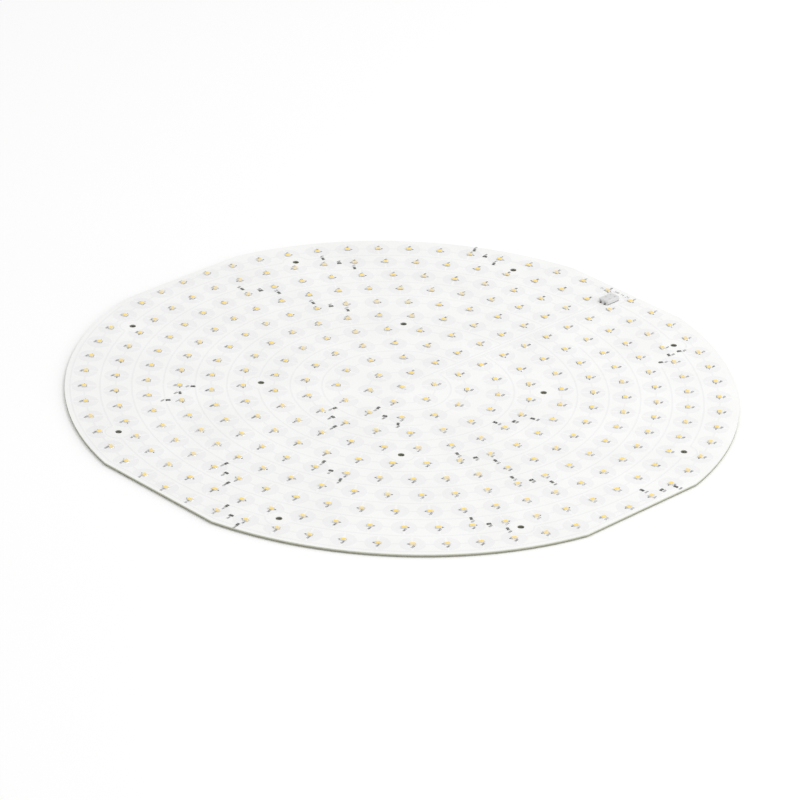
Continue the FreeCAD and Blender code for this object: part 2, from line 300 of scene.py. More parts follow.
class Finish:
    """A node material with a principled shader and object coordinates."""

    def __init__(self, name, roughness, **sockets):
        self.material = bpy.data.materials.new(name)
        self.material.use_nodes = True
        self.tree = self.material.node_tree
        self.tree.nodes.clear()
        self.out = self.node("OutputMaterial")
        self.shader = self.node("BsdfPrincipled")
        socket(self.shader, "Roughness", roughness)
        for key, value in sockets.items():
            socket(self.shader, key.replace("_", " "), value)
        self.link(self.shader.outputs[0], self.out.inputs[0])
        self.place = self.node("TexCoord").outputs["Object"]

    def node(self, kind, **settings):
        made = self.tree.nodes.new("ShaderNode" + kind)
        for key, value in settings.items():
            setattr(made, key, value)
        return made

    def link(self, a, b):
        self.tree.links.new(a, b)

    def noise(self, size, detail, stretch=None):
        """Noise whose grains are about size millimetres across."""
        place = self.place
        if stretch:
            scaled = self.node("Mapping")
            self.link(place, scaled.inputs[0])
            socket(scaled, "Scale", stretch)
            place = scaled.outputs[0]
        made = self.node("TexNoise")
        socket(made, "Scale", 1 / (size * MM))
        socket(made, "Detail", detail)
        self.link(place, made.inputs["Vector"])
        return made.outputs[0]

    def ramp(self, value, stops):
        """Colours or greys at places from 0 to 1 of a value."""
        made = self.node("ValToRGB")
        elements = made.color_ramp.elements
        for element, (place, tone) in zip(elements, (stops[0], stops[-1])):
            element.position, element.color = place, colour(tone)
        for place, tone in stops[1:-1]:
            elements.new(place).color = colour(tone)
        self.link(value, made.inputs[0])
        return made.outputs[0]

    def mix(self, factor, a, b, blend="MIX"):
        made = self.node("Mix", data_type="RGBA", blend_type=blend)
        for value, at in ((factor, MIX_FACTOR), (a, MIX_A), (b, MIX_B)):
            if isinstance(value, bpy.types.NodeSocket):
                self.link(value, made.inputs[at])
            else:
                made.inputs[at].default_value = value if at == MIX_FACTOR else colour(value)
        return made.outputs[MIX_RESULT]

    def maths(self, operation, a, b):
        made = self.node("Math", operation=operation)
        for value, at in ((a, 0), (b, 1)):
            if isinstance(value, bpy.types.NodeSocket):
                self.link(value, made.inputs[at])
            else:
                made.inputs[at].default_value = value
        return made.outputs[0]

    def paint(self, value):
        self.link(value, self.shader.inputs["Base Color"])

    def gloss(self, value):
        self.link(value, self.shader.inputs["Roughness"])

    def bump(self, height, depth, strength):
        """Relief of depth millimetres from a value."""
        made = self.node("Bump")
        socket(made, "Strength", strength)
        socket(made, "Distance", depth * MM)
        self.link(height, made.inputs["Height"])
        self.link(made.outputs[0], self.shader.inputs["Normal"])


def linear(level):
    """Linear light for an sRGB level out of 255."""
    s = level / 255
    return s / 12.92 if s <= 0.04045 else ((s + 0.055) / 1.055) ** 2.4


def colour(levels):
    """RGBA of sRGB levels, or of one grey level."""
    if isinstance(levels, (int, float)):
        levels = (levels,) * 3
    return tuple(linear(c) for c in levels) + (1.0,)


def mask_white(finish, low, high):
    """White solder mask: soft patches of tone and a fine orange-peel skin."""
    patches = finish.ramp(finish.noise(45, 2.0), ((0.35, low), (0.65, high)))
    grain = finish.ramp(finish.noise(0.35, 4.0), ((0.2, 247), (0.8, 255)))
    return finish.mix(1.0, patches, grain, "MULTIPLY")


# Walls nearer to the board's middle than this belong to a hole
BORE_REACH = FLAT_DISTANCE - 2.0
# How far the layers and painted shade in the cut edge and hole walls waver, as a share of
# the board's thickness
LAYER_WAVE = 0.24


def board_finish():
    """Masked top, cut laminate edge darkened towards the bottom as painted shade, hole
    walls darker still as painted shade, and pale bare underside.
    """
    f = Finish("board_mask_and_laminate", 0.6, Specular_IOR_Level=0.2)
    top = mask_white(f, (247, 247, 246), (251, 251, 250))

    geometry = f.node("NewGeometry")
    facing = f.node("SeparateXYZ")
    f.link(geometry.outputs["True Normal"], facing.inputs[0])
    height = f.node("SeparateXYZ")
    f.link(f.place, height.inputs[0])
    level = f.maths("DIVIDE", height.outputs["Z"], BOARD_TOP * MM)
    wavy = f.maths("ADD", level, f.maths("MULTIPLY", f.noise(1.6, 3.0), LAYER_WAVE))
    # Laminate layers of the cut edge, darker towards the bottom as painted shade
    layers_and_painted_shade = f.ramp(wavy, (
        (0.10, (150, 149, 134)),
        (0.46, (176, 176, 156)),
        (0.62, (198, 199, 178)),
        (0.75, (226, 228, 210)),
        (1.00, (234, 235, 222)),
    ))
    # Hole walls: the laminate layers darkened as painted shade, most towards the bottom of
    # the hole
    bore_painted_shade = f.ramp(wavy, (
        (0.20, (120, 119, 107)),
        (0.55, (142, 142, 127)),
        (0.85, (176, 177, 157)),
        (1.00, (212, 214, 196)),
    ))
    fibres = f.ramp(f.noise(0.25, 4.0, (1, 1, 5)), ((0.25, 214), (0.75, 255)))
    reach = f.node("VectorMath", operation="LENGTH")
    f.link(f.place, reach.inputs[0])
    bored = f.maths("LESS_THAN", reach.outputs["Value"], BORE_REACH * MM)
    edge = f.mix(1.0, f.mix(bored, layers_and_painted_shade, bore_painted_shade), fibres, "MULTIPLY")

    weave = f.node("TexBrick")
    socket(weave, "Scale", 1.0)
    weave.offset = 0.5
    socket(weave, "Brick Width", 0.8 * MM)
    socket(weave, "Row Height", 0.5 * MM)
    socket(weave, "Mortar Size", 0.05 * MM)
    socket(weave, "Color1", colour((206, 207, 186)))
    socket(weave, "Color2", colour((198, 199, 177)))
    socket(weave, "Mortar", colour((186, 187, 164)))
    f.link(f.place, weave.inputs["Vector"])
    under = f.mix(f.noise(30, 2.0), weave.outputs[0], (212, 212, 194))

    looks_up = f.maths("GREATER_THAN", facing.outputs["Z"], 0.5)
    looks_down = f.maths("LESS_THAN", facing.outputs["Z"], -0.5)
    f.paint(f.mix(looks_down, f.mix(looks_up, edge, top), under))
    f.gloss(f.ramp(f.noise(6, 3.0), ((0.3, 190), (0.7, 215))))
    f.bump(f.noise(0.5, 3.0), 0.01, 0.5)
    return f.material


def land_finish():
    f = Finish("mask_over_copper", 0.6, Specular_IOR_Level=0.2)
    f.paint(mask_white(f, (241, 241, 241), (245, 245, 245)))
    f.gloss(f.ramp(f.noise(4, 3.0), ((0.3, 186), (0.7, 210))))
    f.bump(f.noise(0.4, 3.0), 0.008, 0.5)
    return f.material


def ink_finish():
    f = Finish("grey_legend_ink", 0.7, Specular_IOR_Level=0.25)
    f.paint(f.ramp(f.noise(0.3, 4.0), ((0.25, (62, 63, 66)), (0.75, (92, 92, 94)))))
    f.bump(f.noise(0.15, 3.0), 0.01, 0.6)
    return f.material


def package_finish():
    """Moulded white reflector body with a fine grain."""
    f = Finish("moulded_white_package", 0.42, Specular_IOR_Level=0.45)
    cloud = f.ramp(f.noise(1.2, 3.0), ((0.3, (226, 227, 230)), (0.7, (236, 237, 239))))
    specks = f.ramp(f.noise(0.12, 4.0), ((0.2, 238), (0.7, 255)))
    f.paint(f.mix(1.0, cloud, specks, "MULTIPLY"))
    f.bump(f.noise(0.1, 2.0), 0.004, 0.5)
    return f.material


def phosphor_finish():
    """Yellow phosphor grains in clear silicone."""
    f = Finish(
        "phosphor_in_silicone", 0.3,
        Specular_IOR_Level=0.5, Coat_Weight=0.3, Coat_Roughness=0.18,
    )
    body = f.ramp(f.noise(0.9, 2.0), ((0.3, (253, 217, 103)), (0.7, (255, 226, 122))))
    grains = f.node("TexVoronoi")
    socket(grains, "Scale", 1 / (0.07 * MM))
    f.link(f.place, grains.inputs["Vector"])
    speck = f.ramp(grains.outputs[0], ((0.0, (255, 240, 200)), (0.5, (255, 255, 255))))
    f.paint(f.mix(0.6, body, speck, "MULTIPLY"))
    f.gloss(f.ramp(f.noise(0.4, 3.0), ((0.3, 110), (0.7, 140))))
    f.bump(f.noise(0.25, 3.0), 0.008, 0.5)
    return f.material


# How far a metal's roughness strays from its mean, in levels out of 255
METAL_SPREAD = 22


def metal_finish(name, dark, light, roughness, grain):
    """Metal with soft patches of tone and a fine grain."""
    f = Finish(name, roughness, Metallic=1.0)
    f.paint(f.ramp(f.noise(grain * 3, 3.0), ((0.3, dark), (0.7, light))))
    rough = int(255 * roughness)
    stops = ((0.25, rough - METAL_SPREAD), (0.75, rough + METAL_SPREAD))
    f.gloss(f.ramp(f.noise(grain, 3.0), stops))
    f.bump(f.noise(grain, 3.0), 0.006, 0.5)
    return f.material


def chip_finish():
    f = Finish(
        "glazed_black_chip", 0.28,
        Specular_IOR_Level=0.5, Coat_Weight=0.25, Coat_Roughness=0.2,
    )
    f.paint(f.ramp(f.noise(0.3, 3.0), ((0.3, (32, 32, 34)), (0.7, (46, 46, 48)))))
    f.bump(f.noise(0.2, 2.0), 0.006, 0.5)
    return f.material


def figure_finish():
    f = Finish("white_chip_figure", 0.6, Specular_IOR_Level=0.3)
    f.paint(f.ramp(f.noise(0.1, 3.0), ((0.3, (214, 214, 212)), (0.7, (232, 232, 230)))))
    return f.material


def housing_finish(name, low, high):
    """Pale grey moulded plastic with a fine spark-eroded grain."""
    f = Finish(name, 0.6, Specular_IOR_Level=0.25)
    cloud = f.ramp(f.noise(5, 2.0), ((0.3, low), (0.7, high)))
    grain = f.ramp(f.noise(0.14, 3.0), ((0.2, 244), (0.8, 255)))
    f.paint(f.mix(1.0, cloud, grain, "MULTIPLY"))
    f.gloss(f.ramp(f.noise(0.3, 3.0), ((0.3, 196), (0.7, 206))))
    f.bump(f.noise(0.14, 3.0), 0.008, 0.6)
    return f.material


def floor_finish():
    """Plain pale floor that shows white to the camera and keeps the soft shadow."""
    f = Finish("pale_floor", 0.9, Specular_IOR_Level=0.0)
    f.paint(f.ramp(f.noise(400, 2.0), ((0.3, 247), (0.7, 248))))
    rays = f.node("LightPath")
    lift = f.node("Emission")
    glow = f.maths("MULTIPLY", rays.outputs["Is Camera Ray"], FLOOR_LIFT)
    f.link(glow, lift.inputs["Strength"])
    both = f.node("AddShader")
    f.link(f.shader.outputs[0], both.inputs[0])
    f.link(lift.outputs[0], both.inputs[1])
    f.link(both.outputs[0], f.out.inputs[0])
    return f.material


# Copper under the mask

LAND_RADIUS = 7.6
LAND_SLOPE = 0.05
LAND_STEPS = 24
SLIT = 1.1
LAND_TO_EDGE = 4.2
# Part of the board that lands leave to the terminal: X from and to, Y from and to
TERMINAL_CLEAR = (172.6, 190.0, -6.9, 5.1)


def clear_of_holes(spot, s, t, inside):
    """How far out a point of a land's outline lies, kept clear of the screw holes. A
    land beyond a hole stays clear of the track round the hole as well."""
    for hole in HOLES:
        hole_s, hole_t = spot.seen(*hole)
        clearance = (DETOUR_CLEARANCE if hole_s < 0 else SCREW_CLEARANCE) + inside
        if abs(t - hole_t) < clearance:
            cut = math.sqrt(clearance ** 2 - (t - hole_t) ** 2)
            s = max(s, hole_s + cut) if hole_s < 0 else min(s, hole_s - cut)
    return s


def clear_of_edge(x, y, inside):
    """A point of a land's outline kept clear of the board's edge and the terminal."""
    limit = FLAT_DISTANCE - LAND_TO_EDGE - inside
    x = min(max(x, -limit), limit)
    y = min(max(y, -limit), limit)
    gap = math.hypot(x, y)
    reach = BOARD_RADIUS - LAND_TO_EDGE - inside
    if gap > reach:
        x, y = x * reach / gap, y * reach / gap
    near, far, low, high = TERMINAL_CLEAR
    if near < x < far and low - inside < y < high + inside:
        y = low - inside if y < (low + high) / 2 else high + inside
    return x, y


def land_outline(spot, side, inside):
    """Half of a round land, on one side of the slit that runs outwards."""
    gap = SLIT / 2 + inside
    radius = LAND_RADIUS - inside
    sweep = math.acos(gap / radius)
    outline = []
    for i in range(LAND_STEPS + 1):
        a = -sweep + 2 * sweep * i / LAND_STEPS
        t = radius * math.cos(a) * side
        x, y, _ = spot.at(clear_of_holes(spot, radius * math.sin(a), t, inside), t)
        outline.append(clear_of_edge(x, y, inside))
    if side > 0:
        outline.reverse()
    return outline


def half_land(shape, spot, side):
    """Half a land as a thin relief with a sloping edge."""
    outline = land_outline(spot, side, 0.0)
    flat_form(shape, outline, land_outline(spot, side, LAND_SLOPE), LAND_RISE)


def near_hole(x, y, reach):
    """Whether a place on the board lies within reach of a screw hole's middle."""
    return any(math.hypot(x - hx, y - hy) < reach for hx, hy in HOLES)


def swing(radius, angle):
    """How far a circle of tracks swings outwards at an angle, to go round a screw hole
    on a clearance circle that it joins with rounded corners."""
    for count, hole_radius in (OUTER_SCREWS, INNER_SCREWS):
        below = radius - hole_radius
        if not 0 <= below < DETOUR_RADIUS:
            continue
        pitch = 2 * math.pi / count
        along = abs((angle / pitch) % 1 - 0.5) * pitch * radius
        reach = DETOUR_RADIUS + DETOUR_CORNER
        start = math.sqrt(reach ** 2 - (DETOUR_CORNER + below) ** 2)
        if along < start * DETOUR_RADIUS / reach:
            return math.sqrt(DETOUR_RADIUS ** 2 - along ** 2) - below
        if along < start:
            return DETOUR_CORNER - math.sqrt(DETOUR_CORNER ** 2 - (along - start) ** 2)
    return 0.0


# Length of a step along a track, and of one near a screw hole
TRACK_STEP = 3.0
DETOUR_STEP = 0.3


def arc_path(radius, start, end):
    """Points along a circle round the board's middle, in degrees, that swings round
    the screw holes."""
    path = []
    a = math.radians(start)
    stop = math.radians(end)
    while True:
        reach = radius + swing(radius, a)
        path.append((reach * math.cos(a), reach * math.sin(a)))
        if a >= stop:
            return path
        close = near_hole(*path[-1], DETOUR_RADIUS + TRACK_STEP)
        a = min(a + (DETOUR_STEP if close else TRACK_STEP) / radius, stop)


def edge_path(gap, start, end):
    """The board's outline between two degrees, flats included, a gap inside the edge,
    in steps of half a degree."""
    path = []
    for i in range(start * 2, end * 2 + 1):
        a = math.radians(i / 2)
        reach = BOARD_RADIUS - gap
        for k in range(4):
            c = math.cos(a - math.pi / 2 * k)
            if c > 0:
                reach = min(reach, (FLAT_DISTANCE - gap) / c)
        path.append((reach * math.cos(a), reach * math.sin(a)))
    return path


# Feed circles outside the rings: ring, first and last degree
FEED_CIRCLES = (
    (1, 195.0, 355.5),
    (2, 3.0, 240.0),
    (3, 68.0, 358.1),
    (4, 1.0, 291.0),
    (5, 63.5, 358.8),
    (6, 0.7, 345.0),
    (7, 29.0, 359.1),
    (8, 0.5, 329.0),
    (9, 26.0, 357.2),
)
# Lines from the middle to the terminal: where each starts, its place across, its width
BUS_LINES = ((16.0, 1.3, 1.0), (30.0, -1.5, 1.0), (30.0, -2.9, 0.8))
BUS_END = 174.0
# Line along the board's edge: gap to the edge, first and last degree
EDGE_LINE = (3.2, 106, 276)
TRACK_WIDTH = 1.0
TRACK_LAP = 0.3
# Tracks that cross or meet lie at slightly different heights
TRACK_RISE = LAND_RISE * 0.9
FEED_RISE = LAND_RISE * 0.8
BUS_RISE = LAND_RISE * 0.7
EDGE_RISE = LAND_RISE * 0.6


def make_copper(finish):
    """A split land under each light and the tracks, all under the white mask."""
    lands = Shape()
    for ring in range(RING_COUNT + 1):
        for place in range(COUNTS[ring]):
            spot = light_spot(ring, place)
            for side in (1, -1):
                half_land(lands, spot, side)
    lands.piece("masked_lands", finish, "copper_land")

    tracks = Shape()
    groups = set(chip_groups())
    for ring in range(1, RING_COUNT + 1):
        radius = ring_radius(ring)
        reach = math.degrees((LAND_RADIUS - TRACK_LAP) / radius)
        for place in range(1, COUNTS[ring]):
            if (ring, place) in groups:
                continue
            middle = 360 * place / COUNTS[ring]
            half = 180 / COUNTS[ring] - reach
            path = arc_path(radius, middle - half, middle + half)
            ribbon(tracks, path, TRACK_WIDTH, TRACK_RISE)
    for ring, start, end in FEED_CIRCLES:
        path = arc_path(ring_radius(ring) + RING_STEP / 2, start, end)
        ribbon(tracks, path, TRACK_WIDTH, FEED_RISE)
    for start, y, width in BUS_LINES:
        ribbon(tracks, [(start, y), (BUS_END, y)], width, BUS_RISE)
    ribbon(tracks, edge_path(*EDGE_LINE), TRACK_WIDTH, EDGE_RISE)
    tracks.piece("masked_tracks", finish, "copper_land")


# Figures printed on the mask

# Stroke of each figure, in its height, and whether it closes; it never meets itself
FIGURES = {
    "0": (
        ((0, 0.25), (0, 0.75), (0.25, 1), (0.45, 1), (0.7, 0.75), (0.7, 0.25),
         (0.45, 0), (0.25, 0)),
        True,
    ),
    "1": (((0.1, 0.78), (0.38, 1), (0.38, 0)), False),
    "2": (
        ((0, 0.78), (0.22, 1), (0.48, 1), (0.7, 0.78), (0.66, 0.55), (0, 0), (0.7, 0)),
        False,
    ),
    "3": (
        ((0, 0.9), (0.3, 1), (0.62, 0.88), (0.62, 0.64), (0.3, 0.52), (0.68, 0.36),
         (0.66, 0.12), (0.35, 0), (0, 0.1)),
        False,
    ),
    "4": (((0.52, 0), (0.52, 1), (0, 0.32), (0.38, 0.32)), False),
    "5": (
        ((0.64, 1), (0.08, 1), (0.02, 0.56), (0.4, 0.62), (0.68, 0.42), (0.64, 0.12),
         (0.36, 0), (0, 0.1)),
        False,
    ),
    "6": (
        ((0.6, 0.96), (0.28, 0.9), (0.02, 0.5), (0.04, 0.14), (0.34, 0), (0.66, 0.14),
         (0.68, 0.4), (0.4, 0.56), (0.24, 0.49)),
        False,
    ),
    "7": (((0, 1), (0.7, 1), (0.26, 0)), False),
    "8": (
        ((0.21, 0.53), (0.04, 0.72), (0.1, 0.94), (0.35, 1), (0.6, 0.94),
         (0.66, 0.72), (0.49, 0.53), (0.68, 0.3), (0.62, 0.06), (0.35, 0),
         (0.08, 0.06), (0.02, 0.3)),
        True,
    ),
    "9": (
        ((0.1, 0.04), (0.42, 0.1), (0.68, 0.5), (0.66, 0.86), (0.36, 1), (0.04, 0.86),
         (0.02, 0.6), (0.3, 0.44), (0.46, 0.51)),
        False,
    ),
}
FIGURE_MIDDLE = 0.35
FIGURE_SQUEEZE = 0.7
FIGURE_HEIGHT = 1.2
FIGURE_STEP = 0.84
TEXT_TURN = 10.0
INK_WIDTH = 0.2


def write(shape, text, x, y, turn=TEXT_TURN, height=FIGURE_HEIGHT, width=INK_WIDTH):
    """Stroke figures centred on a place, turned a little from +X."""
    step = FIGURE_STEP * height / FIGURE_HEIGHT
    c, d = math.cos(math.radians(turn)), math.sin(math.radians(turn))
    for i, figure in enumerate(text):
        if figure == " ":
            continue
        strokes, closed = FIGURES[figure]
        path = []
        for u, v in strokes:
            along = (i - (len(text) - 1) / 2) * step
            along += (u - FIGURE_MIDDLE) * height * FIGURE_SQUEEZE
            up = (v - 0.5) * height
            path.append((x + along * c - up * d, y + along * d + up * c))
        ribbon(shape, path, width, INK_RISE, closed)


# How far out a label stands from its part where it is beside the figures and where it
# is in line with them
LED_LABEL = (2.2, 3.15)
CHIP_LABEL = (3.3, 3.45)
LYING_CHIP_LABEL = (2.0, 2.9)
LABEL_SHIFT = (0.1, -0.1)
# Outline of the mark at a cathode in (outwards, away from the light), and the same
# outline a little smaller
CATHODE_MARK = ((-0.9, 2.1), (0.5, 2.1), (-0.2, 3.4))
CATHODE_MARK_TOP = ((-0.84, 2.13), (0.44, 2.13), (-0.2, 3.33))
# Line along a light's inner side: its place, half length and width
INNER_LINE = (-1.56, 1.7, 0.22)
# The middle light's number and bar: their places, the bar's half length and width
MIDDLE_NUMBER = (0.0, 2.9)
MIDDLE_BAR = (-2.5, 0.6, 0.45)
FIRST_CHIP_NUMBER = 1001
# Plain figures by the terminal: text, place and height
TERMINAL_PRINT = (("346 14 24", 193.1, 0.0, 2.0), ("01", 190.4, 14.2, 1.6))
TERMINAL_PRINT_TURN = -90.0
TERMINAL_INK_WIDTH = 0.16
# Plus sign by the terminal: place, half length and width of its strokes. One stroke
# is slightly lower where they cross
PLUS_SIGN = (188.5, 7.5, 0.8, 0.28)
CROSS_RISE = INK_RISE * 0.9


def label_place(spot, reach):
    """Where a label stands outside its part: farther out where its figures point at
    the part."""
    beside, in_line = reach
    turn = math.radians(TEXT_TURN)
    pointing = abs(spot.out[0] * math.cos(turn) + spot.out[1] * math.sin(turn))
    return spot.at(beside + (in_line - beside) * pointing, 0)[:2]


def add_cathode_mark(shape, spot, side):
    """Printed triangle that points away from the light."""
    levels = []
    for corners in (CATHODE_MARK, CATHODE_MARK_TOP):
        outline = [spot.at(s, side * t)[:2] for s, t in corners]
        levels.append(outline if side > 0 else outline[::-1])
    flat_form(shape, *levels, INK_RISE)


def make_legend(finish):
    """A number beside each light, its string and its place in the string, a triangle
    at its cathode end and a line along its inner side. The chips are numbered too."""
    labels = Shape()
    marks = Shape()
    for order, (ring, place) in enumerate(led_chain()):
        text = "%02d%02d" % (order // LEDS_PER_STRING + 1, order % LEDS_PER_STRING + 1)
        if ring == 0:
            write(labels, text, *MIDDLE_NUMBER)
            y, half, width = MIDDLE_BAR
            ribbon(marks, [(-half, y), (half, y)], width, INK_RISE)
            continue
        spot = light_spot(ring, place)
        x, y = label_place(spot, LED_LABEL)
        write(labels, text, x + LABEL_SHIFT[0], y + LABEL_SHIFT[1])
        add_cathode_mark(marks, spot, cathode_side(ring))
        s, half, width = INNER_LINE
        ribbon(marks, [spot.at(s, t)[:2] for t in (-half, half)], width, INK_RISE)
    number = FIRST_CHIP_NUMBER
    for places in chip_places():
        for _, spot, along_ring in places:
            x, y = label_place(spot, LYING_CHIP_LABEL if along_ring else CHIP_LABEL)
            write(labels, str(number), x, y)
            number += 1
    for text, x, y, height in TERMINAL_PRINT:
        write(labels, text, x, y, TERMINAL_PRINT_TURN, height, TERMINAL_INK_WIDTH)
    x, y, half, width = PLUS_SIGN
    ribbon(marks, [(x - half, y), (x + half, y)], width, INK_RISE)
    ribbon(marks, [(x, y - half), (x, y + half)], width, CROSS_RISE)
    labels.piece("printed_numbers", finish, "legend_ink")
    marks.piece("printed_marks", finish, "legend_ink")


# Lights

LED_LONG = 3.5
LED_DEEP = 2.8
LED_TALL = 0.62
WINDOW_LONG = 2.9
WINDOW_DEEP = 2.4
PACKAGE_CORNER = 0.14
CATHODE_CUT = 0.42
# How much smaller than its full outline the package is at each height
PACKAGE_LEVELS = (
    (0.06, 0.0),
    (0.0, 0.04),
    (0.0, 0.26),
    (0.06, 0.29),
    (0.10, LED_TALL - 0.04),
    (0.18, LED_TALL),
)
# Mouth and floor of the cup against the window, corner and height
CUP_LEVELS = ((-0.02, 0.42, LED_TALL), (0.5, 0.3, 0.3))
# How much smaller than the window the phosphor is, its corner and height
PHOSPHOR_LEVELS = (
    (0.54, 0.3, 0.32),
    (0.0, 0.4, LED_TALL + 0.005),
    (0.06, 0.38, LED_TALL + 0.04),
    (0.3, 0.3, LED_TALL + 0.065),
    (0.9, 0.2, LED_TALL + 0.075),
)
# Profiles of a lead and of its solder in (away from the package's end, up)
LEAD_PROFILE = (
    (-0.30, 0.0), (0.10, 0.0), (0.10, 0.33), (0.03, 0.36), (0.01, 0.33), (0.01, 0.09),
    (-0.30, 0.09),
)
LED_SOLDER = (
    (0.08, 0.02), (0.34, 0.02), (0.33, 0.06), (0.22, 0.10), (0.15, 0.17), (0.10, 0.27),
    (0.08, 0.27),
)
LEAD_WIDTH = 1.9
LED_SOLDER_WIDTH = 1.8


def shrunk(amount, side):
    """Body outline made smaller by an amount, its corner cut at the cathode end."""
    outline = rounded(
        LED_DEEP - amount, LED_LONG - amount, PACKAGE_CORNER, cut=CATHODE_CUT - amount / 4,
    )
    if side < 0:
        outline = [(s, -t) for s, t in reversed(outline)]
    return outline


def window_levels(spot, levels):
    """Outlines of the window made smaller at each height."""
    return [
        laid(spot, rounded(WINDOW_DEEP - less, WINDOW_LONG - less, corner), z)
        for less, corner, z in levels
    ]


def add_package(shape, spot, side):
    """White body with drafted sides, one cut corner and a cup for the phosphor."""
    outside = [laid(spot, shrunk(less, side), z) for less, z in PACKAGE_LEVELS]
    shape.skin(outside + window_levels(spot, CUP_LEVELS))


def add_window(shape, spot):
    """Phosphor that fills the cup and stands a little proud, its middle level."""
    shape.skin(window_levels(spot, PHOSPHOR_LEVELS), smooth=True)


def add_profile(shape, spot, profile, width, side):
    """A closed profile at a light's end, drawn out to a width across it."""
    loops = [
        [spot.at(across, side * (LED_LONG / 2 + d), z) for d, z in profile]
        for across in (-width / 2, width / 2)
    ]
    if side > 0:
        loops.reverse()
    shape.skin(loops)


def make_lights(package, window, lead, solder):
    """Packages and phosphor ring by ring, and the leads and solder of all lights."""
    leads = Shape()
    fillets = Shape()
    for ring in range(RING_COUNT + 1):
        bodies = Shape()
        windows = Shape()
        for place in range(COUNTS[ring]):
            spot = light_spot(ring, place)
            add_package(bodies, spot, cathode_side(ring))
            add_window(windows, spot)
            for side in (1, -1):
                add_profile(leads, spot, LEAD_PROFILE, LEAD_WIDTH, side)
                add_profile(fillets, spot, LED_SOLDER, LED_SOLDER_WIDTH, side)
        word = ring_word(ring)
        body = bodies.piece("led_bodies_" + word, package, "led_package")
        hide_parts("led_packages_" + word)
        phosphor = windows.piece("led_phosphor_" + word, window, "led_window")
        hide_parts("led_windows_" + word)
    leads.piece("led_leads", lead, "terminal_metal")
    fillets.piece("led_solder", solder, "chip_end")


# Jumper chips

CHIP_LONG = 2.0
CHIP_WIDE = 1.25
CHIP_TALL = 0.5
CHIP_END = 0.4

# How far the inner and outer chips of a group lie from its ring and along it, and the
# smaller steps of an outer chip near the edge, a flat or a screw hole
CHIP_RADIAL = 8.1
CHIP_ARC = 8.4
CHIP_RADIAL_AT_EDGE = 6.9
CHIP_RADIAL_AT_FLAT = 4.2
CHIP_ARC_AT_SCREW = 3.0
SCREW_KEEP_OUT = 5.0
EDGE_KEEP_OUT = 4.0

# The body is narrower than the chip and laps under its ends. The levels are how much
# smaller it is outwards and along the ring at each height
CHIP_BODY_NARROWER = 0.05
CHIP_BODY_LAP = 0.1
CHIP_BODY_CORNER = 0.03
CHIP_BODY_LEVELS = (
    (0.0, 0.0, 0.03),
    (0.0, 0.0, CHIP_TALL - 0.07),
    (0.06, 0.02, CHIP_TALL - 0.03),
)
# How much smaller a metal end is at each height
CHIP_END_CORNER = 0.07
CHIP_END_LEVELS = ((0.0, 0.02), (0.0, 0.06), (0.0, CHIP_TALL - 0.06), (0.07, CHIP_TALL))
# Solder round a chip's end: how far it reaches past the end and past both sides
# together, at each height
CHIP_SOLDER_CORNER = 0.12
CHIP_SOLDER_INSET = 0.02
CHIP_SOLDER = (
    (0.52, 0.58, 0.02),
    (0.50, 0.56, 0.06),
    (0.28, 0.32, 0.12),
    (0.12, 0.10, 0.24),
    (-0.03, -0.06, 0.36),
)
# Nought on a chip: half its width and height at the edges of its stroke, how much
# longer than wide it is, the level it stands on and degrees from point to point
NOUGHT_STROKE = ((0.12, -0.05), (0.12, 0.0), (0.24, 0.0), (0.24, -0.05))
NOUGHT_LONGER = 0.12
NOUGHT_LEVEL = CHIP_TALL - 0.02
NOUGHT_TURN = 30


def chip_places():
    """Inner, middle and outer chip of each group: name, spot and whether it lies
    along the ring."""
    groups = []
    for ring, gap in chip_groups():
        angle = 2 * math.pi * gap / COUNTS[ring]
        radius = ring_radius(ring)
        out_radial, out_arc = outer_chip_steps(ring, gap)
        places = []
        for name, radial, arc in (
            ("inner", -CHIP_RADIAL, -CHIP_ARC),
            ("middle", 0.0, 0.0),
            ("outer", out_radial, out_arc),
        ):
            spot = Spot(radius + radial, angle + arc / radius)
            places.append((name, spot, name == "middle"))
        groups.append(places)
    return groups


def outer_chip_steps(ring, gap):
    """How far the outer chip lies from its ring and along it: less near a screw hole
    or a flat."""
    radial = CHIP_RADIAL_AT_EDGE if ring == RING_COUNT else CHIP_RADIAL
    radius = ring_radius(ring)
    angle = 2 * math.pi * gap / COUNTS[ring]
    x, y, _ = Spot(radius + radial, angle + CHIP_ARC / radius).at(0, 0)
    arc = CHIP_ARC_AT_SCREW if near_hole(x, y, SCREW_KEEP_OUT) else CHIP_ARC
    if FLAT_DISTANCE - max(abs(x), abs(y)) < EDGE_KEEP_OUT:
        radial = CHIP_RADIAL_AT_FLAT
    return radial, arc


def add_chip_body(shape, spot, along_ring):
    """Glazed body between the metal ends, its upper edges bevelled."""
    long = CHIP_LONG - 2 * CHIP_END + CHIP_BODY_LAP
    wide = CHIP_WIDE - CHIP_BODY_NARROWER
    outwards, along = (wide, long) if along_ring else (long, wide)
    shape.skin([
        laid(spot, rounded(outwards - less, along - shorter, CHIP_BODY_CORNER, 1), z)
        for less, shorter, z in CHIP_BODY_LEVELS
    ])


def laid_endways(spot, outline, middle, z, along_ring):
    """An outline in (across, along) a chip, set down a distance from its middle."""
    if along_ring:
        return [spot.at(s, t + middle, z) for s, t in outline]
    return [spot.at(t + middle, -s, z) for s, t in outline]


def add_chip_end(shape, spot, side, along_ring):
    """Wrap-round metal end with softened edges."""
    middle = side * (CHIP_LONG - CHIP_END) / 2
    loops = []
    for less, z in CHIP_END_LEVELS:
        outline = rounded(CHIP_WIDE - less, CHIP_END - less, CHIP_END_CORNER)
        loops.append(laid_endways(spot, outline, middle, z, along_ring))
    shape.skin(loops)


